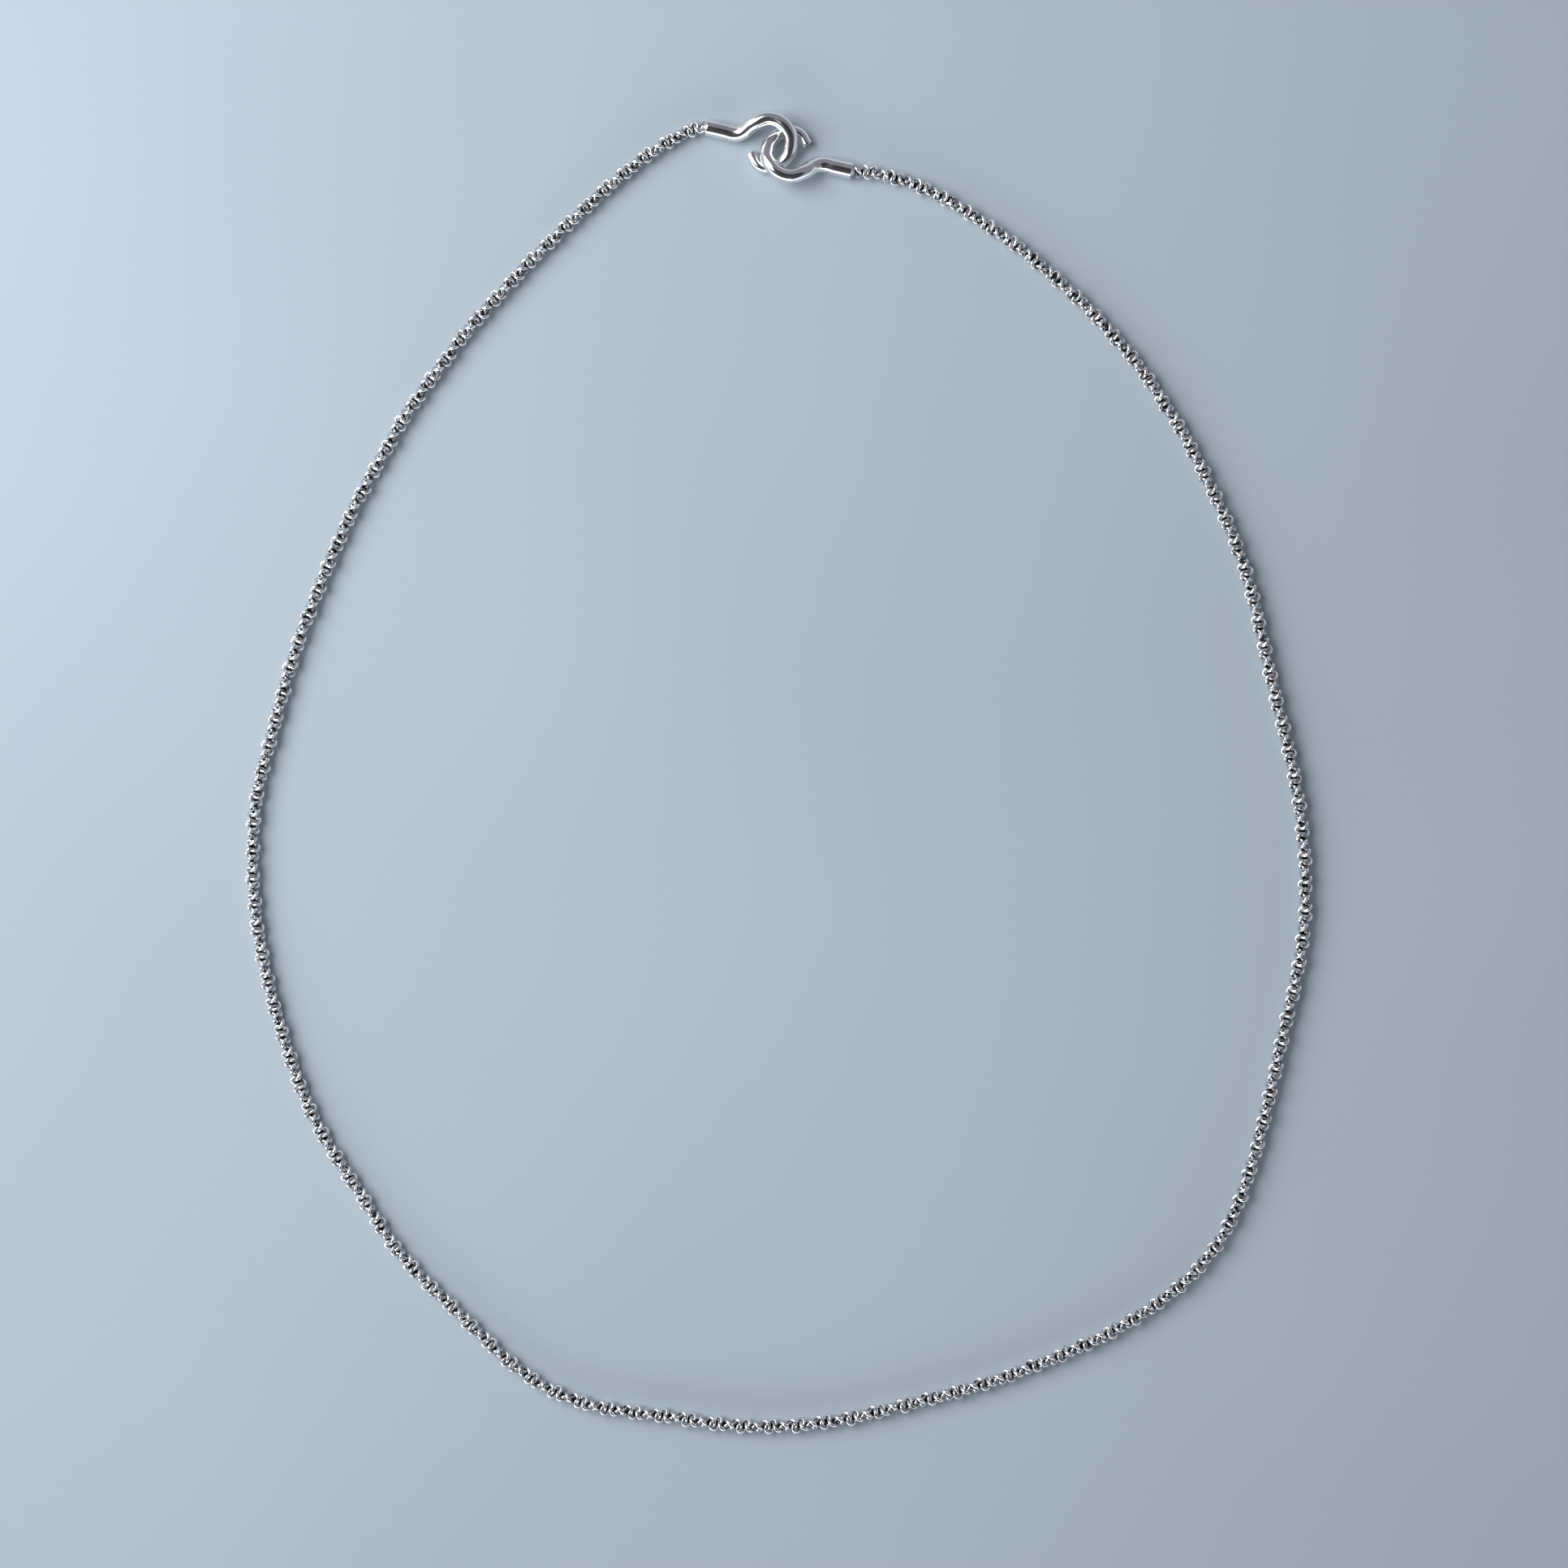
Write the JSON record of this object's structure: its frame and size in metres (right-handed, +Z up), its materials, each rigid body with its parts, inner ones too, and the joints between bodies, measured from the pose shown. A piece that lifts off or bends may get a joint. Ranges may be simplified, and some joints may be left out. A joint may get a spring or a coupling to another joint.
{
  "type": "chain necklace",
  "caption": "Fine polished silver rope-chain necklace, a loop of small linked rings closed by two identical hooks that grip each other.",
  "frame": {"origin": "centre of the loop's bounding box, on the surface it lies on", "axes": "+Y towards the clasp, +Z up off the surface, +X to the right with the clasp at the top"},
  "size_m": [0.1306, 0.1614, 0.0034],
  "materials": {
    "rope_silver": "polished silver wire",
    "clasp_silver": "polished silver with fine wear scratches",
    "solder": "silver solder, slightly rough"
  },
  "bodies": {
    "clasp_right": {"hook_right": "clasp_silver", "solder_right": "solder", "chain_right_27": "rope_silver"},
    "chain_right_26": {"chain_right_26": "rope_silver"},
    "chain_right_25": {"chain_right_25": "rope_silver"},
    "chain_right_24": {"chain_right_24": "rope_silver"},
    "chain_right_23": {"chain_right_23": "rope_silver"},
    "chain_right_22": {"chain_right_22": "rope_silver"},
    "chain_right_21": {"chain_right_21": "rope_silver"},
    "chain_right_20": {"chain_right_20": "rope_silver"},
    "chain_right_19": {"chain_right_19": "rope_silver"},
    "chain_right_18": {"chain_right_18": "rope_silver"},
    "chain_right_17": {"chain_right_17": "rope_silver"},
    "chain_right_16": {"chain_right_16": "rope_silver"},
    "chain_right_15": {"chain_right_15": "rope_silver"},
    "chain_right_14": {"chain_right_14": "rope_silver"},
    "chain_right_13": {"chain_right_13": "rope_silver"},
    "chain_right_12": {"chain_right_12": "rope_silver"},
    "chain_right_11": {"chain_right_11": "rope_silver"},
    "chain_right_10": {"chain_right_10": "rope_silver"},
    "chain_right_09": {"chain_right_09": "rope_silver"},
    "chain_right_08": {"chain_right_08": "rope_silver"},
    "chain_right_07": {"chain_right_07": "rope_silver"},
    "chain_right_06": {"chain_right_06": "rope_silver"},
    "chain_right_05": {"chain_right_05": "rope_silver"},
    "chain_right_04": {"chain_right_04": "rope_silver"},
    "chain_right_03": {"chain_right_03": "rope_silver"},
    "chain_right_02": {"chain_right_02": "rope_silver"},
    "chain_right_01": {"chain_right_01": "rope_silver"},
    "chain_bottom": {"chain_bottom": "rope_silver"},
    "chain_left_01": {"chain_left_01": "rope_silver"},
    "chain_left_02": {"chain_left_02": "rope_silver"},
    "chain_left_03": {"chain_left_03": "rope_silver"},
    "chain_left_04": {"chain_left_04": "rope_silver"},
    "chain_left_05": {"chain_left_05": "rope_silver"},
    "chain_left_06": {"chain_left_06": "rope_silver"},
    "chain_left_07": {"chain_left_07": "rope_silver"},
    "chain_left_08": {"chain_left_08": "rope_silver"},
    "chain_left_09": {"chain_left_09": "rope_silver"},
    "chain_left_10": {"chain_left_10": "rope_silver"},
    "chain_left_11": {"chain_left_11": "rope_silver"},
    "chain_left_12": {"chain_left_12": "rope_silver"},
    "chain_left_13": {"chain_left_13": "rope_silver"},
    "chain_left_14": {"chain_left_14": "rope_silver"},
    "chain_left_15": {"chain_left_15": "rope_silver"},
    "chain_left_16": {"chain_left_16": "rope_silver"},
    "chain_left_17": {"chain_left_17": "rope_silver"},
    "chain_left_18": {"chain_left_18": "rope_silver"},
    "chain_left_19": {"chain_left_19": "rope_silver"},
    "chain_left_20": {"chain_left_20": "rope_silver"},
    "chain_left_21": {"chain_left_21": "rope_silver"},
    "chain_left_22": {"chain_left_22": "rope_silver"},
    "chain_left_23": {"chain_left_23": "rope_silver"},
    "chain_left_24": {"chain_left_24": "rope_silver"},
    "chain_left_25": {"chain_left_25": "rope_silver"},
    "chain_left_26": {"chain_left_26": "rope_silver"},
    "clasp_left": {"hook_left": "clasp_silver", "solder_left": "solder", "chain_left_27": "rope_silver"}
  },
  "joints": [
    {"name": "clasp_swivel_07", "type": "hinge", "parent": "chain_right_26", "child": "clasp_right", "pos_m": [0.01537, 0.07245, 0.00103], "axis": [0, 0, 1], "range_deg": [-5, 5]},
    {"name": "clasp_swivel_06", "type": "hinge", "parent": "chain_right_25", "child": "chain_right_26", "pos_m": [0.02104, 0.06981, 0.00103], "axis": [0, 0, 1], "range_deg": [-1.7, 1.7]},
    {"name": "clasp_swivel_05", "type": "hinge", "parent": "chain_right_24", "child": "chain_right_25", "pos_m": [0.02629, 0.06641, 0.00103], "axis": [0, 0, 1], "range_deg": [-0.8, 0.8]},
    {"name": "clasp_swivel_04", "type": "hinge", "parent": "chain_right_23", "child": "chain_right_24", "pos_m": [0.03131, 0.06267, 0.00103], "axis": [0, 0, 1], "range_deg": [-1.14, 1.14]},
    {"name": "clasp_swivel_03", "type": "hinge", "parent": "chain_right_22", "child": "chain_right_23", "pos_m": [0.03598, 0.05849, 0.00103], "axis": [0, 0, 1], "range_deg": [-0.81, 0.81]},
    {"name": "clasp_swivel_02", "type": "hinge", "parent": "chain_right_21", "child": "chain_right_22", "pos_m": [0.04037, 0.05403, 0.00103], "axis": [0, 0, 1], "range_deg": [-1.25, 1.25]},
    {"name": "clasp_swivel_01", "type": "hinge", "parent": "chain_right_20", "child": "chain_right_21", "pos_m": [0.04434, 0.04919, 0.00103], "axis": [0, 0, 1], "range_deg": [-2.07, 2.07]},
    {"name": "lift_01_right", "type": "hinge", "parent": "chain_right_19", "child": "chain_right_20", "pos_m": [0.04783, 0.044, 0.00103], "axis": [1, 0, 0], "range_deg": [-5, 5]},
    {"name": "lift_02_right", "type": "hinge", "parent": "chain_right_18", "child": "chain_right_19", "pos_m": [0.05232, 0.03583, 0.00103], "axis": [1, 0, 0], "range_deg": [-5, 5]},
    {"name": "lift_03_right", "type": "hinge", "parent": "chain_right_17", "child": "chain_right_18", "pos_m": [0.05596, 0.02767, 0.00103], "axis": [1, 0, 0], "range_deg": [-5, 5]},
    {"name": "lift_04_right", "type": "hinge", "parent": "chain_right_16", "child": "chain_right_17", "pos_m": [0.05838, 0.0195, 0.00103], "axis": [1, 0, 0], "range_deg": [-5, 5]},
    {"name": "lift_05_right", "type": "hinge", "parent": "chain_right_15", "child": "chain_right_16", "pos_m": [0.06021, 0.01133, 0.00103], "axis": [1, 0, 0], "range_deg": [-5, 5]},
    {"name": "lift_06_right", "type": "hinge", "parent": "chain_right_14", "child": "chain_right_15", "pos_m": [0.06218, 0.00317, 0.00103], "axis": [1, 0, 0], "range_deg": [-5, 5]},
    {"name": "lift_07_right", "type": "hinge", "parent": "chain_right_13", "child": "chain_right_14", "pos_m": [0.06372, -0.005, 0.00103], "axis": [1, 0, 0], "range_deg": [-5, 5]},
    {"name": "lift_08_right", "type": "hinge", "parent": "chain_right_12", "child": "chain_right_13", "pos_m": [0.06432, -0.01317, 0.00103], "axis": [1, 0, 0], "range_deg": [-5, 5]},
    {"name": "lift_09_right", "type": "hinge", "parent": "chain_right_11", "child": "chain_right_12", "pos_m": [0.06385, -0.02133, 0.00103], "axis": [1, 0, 0], "range_deg": [-5, 5]},
    {"name": "lift_10_right", "type": "hinge", "parent": "chain_right_10", "child": "chain_right_11", "pos_m": [0.06215, -0.0295, 0.00103], "axis": [1, 0, 0], "range_deg": [-5, 5]},
    {"name": "lift_11_right", "type": "hinge", "parent": "chain_right_09", "child": "chain_right_10", "pos_m": [0.06031, -0.03767, 0.00103], "axis": [1, 0, 0], "range_deg": [-5, 5]},
    {"name": "lift_12_right", "type": "hinge", "parent": "chain_right_08", "child": "chain_right_09", "pos_m": [0.05831, -0.04583, 0.00103], "axis": [1, 0, 0], "range_deg": [-5, 5]},
    {"name": "lift_13_right", "type": "hinge", "parent": "chain_right_07", "child": "chain_right_08", "pos_m": [0.05549, -0.054, 0.00103], "axis": [1, 0, 0], "range_deg": [-5, 5]},
    {"name": "bottom_round_04", "type": "hinge", "parent": "chain_right_06", "child": "chain_right_07", "pos_m": [0.05091, -0.06071, 0.00103], "axis": [0, 0, 1], "range_deg": [-2.5, 2.5]},
    {"name": "bottom_sway_03", "type": "hinge", "parent": "chain_right_05", "child": "chain_right_06", "pos_m": [0.04456, -0.06581, 0.00103], "axis": [0, 0, 1], "range_deg": [-2.33, 2.33]},
    {"name": "bottom_round_03", "type": "hinge", "parent": "chain_right_04", "child": "chain_right_05", "pos_m": [0.03743, -0.06976, 0.00103], "axis": [0, 0, 1], "range_deg": [-4.23, 4.23]},
    {"name": "bottom_sway_02", "type": "hinge", "parent": "chain_right_03", "child": "chain_right_04", "pos_m": [0.02988, -0.07283, 0.00103], "axis": [0, 0, 1], "range_deg": [-5, 5]},
    {"name": "bottom_round_02", "type": "hinge", "parent": "chain_right_02", "child": "chain_right_03", "pos_m": [0.02213, -0.07537, 0.00103], "axis": [0, 0, 1], "range_deg": [-3.7, 3.7]},
    {"name": "bottom_sway_01", "type": "hinge", "parent": "chain_right_01", "child": "chain_right_02", "pos_m": [0.01423, -0.07742, 0.00103], "axis": [0, 0, 1], "range_deg": [-4.78, 4.78]},
    {"name": "bottom_round_01", "type": "hinge", "parent": "chain_bottom", "child": "chain_right_01", "pos_m": [0.00626, -0.07914, 0.00103], "axis": [0, 0, 1], "range_deg": [-5.22, 5.22]},
    {"name": "bottom_round_05", "type": "hinge", "parent": "chain_bottom", "child": "chain_left_01", "pos_m": [-0.00187, -0.07973, 0.00103], "axis": [0, 0, 1], "range_deg": [-5, 5]},
    {"name": "bottom_sway_04", "type": "hinge", "parent": "chain_left_01", "child": "chain_left_02", "pos_m": [-0.00999, -0.07905, 0.00103], "axis": [0, 0, 1], "range_deg": [-5.23, 5.23]},
    {"name": "bottom_round_06", "type": "hinge", "parent": "chain_left_02", "child": "chain_left_03", "pos_m": [-0.01807, -0.07797, 0.00103], "axis": [0, 0, 1], "range_deg": [-3.12, 3.12]},
    {"name": "bottom_sway_05", "type": "hinge", "parent": "chain_left_03", "child": "chain_left_04", "pos_m": [-0.026, -0.07613, 0.00103], "axis": [0, 0, 1], "range_deg": [-4.96, 4.96]},
    {"name": "bottom_round_07", "type": "hinge", "parent": "chain_left_04", "child": "chain_left_05", "pos_m": [-0.0329, -0.07185, 0.00103], "axis": [0, 0, 1], "range_deg": [-4.43, 4.43]},
    {"name": "bottom_sway_06", "type": "hinge", "parent": "chain_left_05", "child": "chain_left_06", "pos_m": [-0.0388, -0.06623, 0.00103], "axis": [0, 0, 1], "range_deg": [-1.6, 1.6]},
    {"name": "bottom_round_08", "type": "hinge", "parent": "chain_left_06", "child": "chain_left_07", "pos_m": [-0.04464, -0.06053, 0.00103], "axis": [0, 0, 1], "range_deg": [-2.51, 2.51]},
    {"name": "lift_13_left", "type": "hinge", "parent": "chain_left_07", "child": "chain_left_08", "pos_m": [-0.04951, -0.054, 0.00103], "axis": [1, 0, 0], "range_deg": [-5, 5]},
    {"name": "lift_12_left", "type": "hinge", "parent": "chain_left_08", "child": "chain_left_09", "pos_m": [-0.05474, -0.04583, 0.00103], "axis": [1, 0, 0], "range_deg": [-5, 5]},
    {"name": "lift_11_left", "type": "hinge", "parent": "chain_left_09", "child": "chain_left_10", "pos_m": [-0.0587, -0.03767, 0.00103], "axis": [1, 0, 0], "range_deg": [-5, 5]},
    {"name": "lift_10_left", "type": "hinge", "parent": "chain_left_10", "child": "chain_left_11", "pos_m": [-0.06139, -0.0295, 0.00103], "axis": [1, 0, 0], "range_deg": [-5, 5]},
    {"name": "lift_09_left", "type": "hinge", "parent": "chain_left_11", "child": "chain_left_12", "pos_m": [-0.06332, -0.02133, 0.00103], "axis": [1, 0, 0], "range_deg": [-5, 5]},
    {"name": "lift_08_left", "type": "hinge", "parent": "chain_left_12", "child": "chain_left_13", "pos_m": [-0.06426, -0.01317, 0.00103], "axis": [1, 0, 0], "range_deg": [-5, 5]},
    {"name": "lift_07_left", "type": "hinge", "parent": "chain_left_13", "child": "chain_left_14", "pos_m": [-0.06409, -0.005, 0.00103], "axis": [1, 0, 0], "range_deg": [-5, 5]},
    {"name": "lift_06_left", "type": "hinge", "parent": "chain_left_14", "child": "chain_left_15", "pos_m": [-0.06242, 0.00317, 0.00103], "axis": [1, 0, 0], "range_deg": [-5, 5]},
    {"name": "lift_05_left", "type": "hinge", "parent": "chain_left_15", "child": "chain_left_16", "pos_m": [-0.06022, 0.01133, 0.00103], "axis": [1, 0, 0], "range_deg": [-5, 5]},
    {"name": "lift_04_left", "type": "hinge", "parent": "chain_left_16", "child": "chain_left_17", "pos_m": [-0.05748, 0.0195, 0.00103], "axis": [1, 0, 0], "range_deg": [-5, 5]},
    {"name": "lift_03_left", "type": "hinge", "parent": "chain_left_17", "child": "chain_left_18", "pos_m": [-0.05418, 0.02767, 0.00103], "axis": [1, 0, 0], "range_deg": [-5, 5]},
    {"name": "lift_02_left", "type": "hinge", "parent": "chain_left_18", "child": "chain_left_19", "pos_m": [-0.05017, 0.03583, 0.00103], "axis": [1, 0, 0], "range_deg": [-5, 5]},
    {"name": "lift_01_left", "type": "hinge", "parent": "chain_left_19", "child": "chain_left_20", "pos_m": [-0.04548, 0.044, 0.00103], "axis": [1, 0, 0], "range_deg": [-5, 5]},
    {"name": "clasp_swivel_08", "type": "hinge", "parent": "chain_left_20", "child": "chain_left_21", "pos_m": [-0.04177, 0.0492, 0.00103], "axis": [0, 0, 1], "range_deg": [-2.78, 2.78]},
    {"name": "clasp_swivel_09", "type": "hinge", "parent": "chain_left_21", "child": "chain_left_22", "pos_m": [-0.03791, 0.0543, 0.00103], "axis": [0, 0, 1], "range_deg": [-1.78, 1.78]},
    {"name": "clasp_swivel_10", "type": "hinge", "parent": "chain_left_22", "child": "chain_left_23", "pos_m": [-0.03367, 0.05908, 0.00103], "axis": [0, 0, 1], "range_deg": [-0.71, 0.71]},
    {"name": "clasp_swivel_11", "type": "hinge", "parent": "chain_left_23", "child": "chain_left_24", "pos_m": [-0.02927, 0.06372, 0.00103], "axis": [0, 0, 1], "range_deg": [-0.93, 0.93]},
    {"name": "clasp_swivel_12", "type": "hinge", "parent": "chain_left_24", "child": "chain_left_25", "pos_m": [-0.02469, 0.06817, 0.00103], "axis": [0, 0, 1], "range_deg": [-0.65, 0.65]},
    {"name": "clasp_swivel_13", "type": "hinge", "parent": "chain_left_25", "child": "chain_left_26", "pos_m": [-0.01997, 0.07248, 0.00103], "axis": [0, 0, 1], "range_deg": [-1.89, 1.89]},
    {"name": "clasp_swivel_14", "type": "hinge", "parent": "chain_left_26", "child": "clasp_left", "pos_m": [-0.0149, 0.07637, 0.00103], "axis": [0, 0, 1], "range_deg": [-3.8, 3.8]}
  ],
  "couplings": [
    {"joint": "lift_01_left", "follows": "lift_01_right", "ratio": 1},
    {"joint": "lift_02_left", "follows": "lift_02_right", "ratio": 1},
    {"joint": "lift_03_left", "follows": "lift_03_right", "ratio": 1},
    {"joint": "lift_04_left", "follows": "lift_04_right", "ratio": 1},
    {"joint": "lift_05_left", "follows": "lift_05_right", "ratio": 1},
    {"joint": "lift_06_left", "follows": "lift_06_right", "ratio": 1},
    {"joint": "lift_07_left", "follows": "lift_07_right", "ratio": 1},
    {"joint": "lift_08_left", "follows": "lift_08_right", "ratio": 1},
    {"joint": "lift_09_left", "follows": "lift_09_right", "ratio": 1},
    {"joint": "lift_10_left", "follows": "lift_10_right", "ratio": 1},
    {"joint": "lift_11_left", "follows": "lift_11_right", "ratio": 1},
    {"joint": "lift_12_left", "follows": "lift_12_right", "ratio": 1},
    {"joint": "lift_13_left", "follows": "lift_13_right", "ratio": 1},
    {"joint": "bottom_round_01", "follows": "bottom_round_05", "ratio": -0.995},
    {"joint": "bottom_round_02", "follows": "bottom_round_05", "ratio": 0.70523},
    {"joint": "bottom_round_03", "follows": "bottom_round_05", "ratio": 0.80526},
    {"joint": "bottom_round_04", "follows": "bottom_round_05", "ratio": -0.47568},
    {"joint": "bottom_round_06", "follows": "bottom_round_05", "ratio": -0.59442},
    {"joint": "bottom_round_07", "follows": "bottom_round_05", "ratio": -0.84303},
    {"joint": "bottom_round_08", "follows": "bottom_round_05", "ratio": 0.47729},
    {"joint": "bottom_sway_01", "follows": "bottom_sway_02", "ratio": -0.91085},
    {"joint": "bottom_sway_03", "follows": "bottom_sway_02", "ratio": -0.44319},
    {"joint": "bottom_sway_04", "follows": "bottom_sway_02", "ratio": -0.99525},
    {"joint": "bottom_sway_05", "follows": "bottom_sway_02", "ratio": 0.94506},
    {"joint": "bottom_sway_06", "follows": "bottom_sway_02", "ratio": -0.30385},
    {"joint": "clasp_swivel_01", "follows": "clasp_swivel_07", "ratio": 0.39441},
    {"joint": "clasp_swivel_02", "follows": "clasp_swivel_07", "ratio": -0.23867},
    {"joint": "clasp_swivel_03", "follows": "clasp_swivel_07", "ratio": -0.15428},
    {"joint": "clasp_swivel_04", "follows": "clasp_swivel_07", "ratio": -0.21728},
    {"joint": "clasp_swivel_05", "follows": "clasp_swivel_07", "ratio": -0.15199},
    {"joint": "clasp_swivel_06", "follows": "clasp_swivel_07", "ratio": -0.32306},
    {"joint": "clasp_swivel_08", "follows": "clasp_swivel_07", "ratio": -0.52991},
    {"joint": "clasp_swivel_09", "follows": "clasp_swivel_07", "ratio": 0.339},
    {"joint": "clasp_swivel_10", "follows": "clasp_swivel_07", "ratio": 0.13567},
    {"joint": "clasp_swivel_11", "follows": "clasp_swivel_07", "ratio": 0.17647},
    {"joint": "clasp_swivel_12", "follows": "clasp_swivel_07", "ratio": 0.12427},
    {"joint": "clasp_swivel_13", "follows": "clasp_swivel_07", "ratio": 0.36016},
    {"joint": "clasp_swivel_14", "follows": "clasp_swivel_07", "ratio": -0.72467}
  ]
}
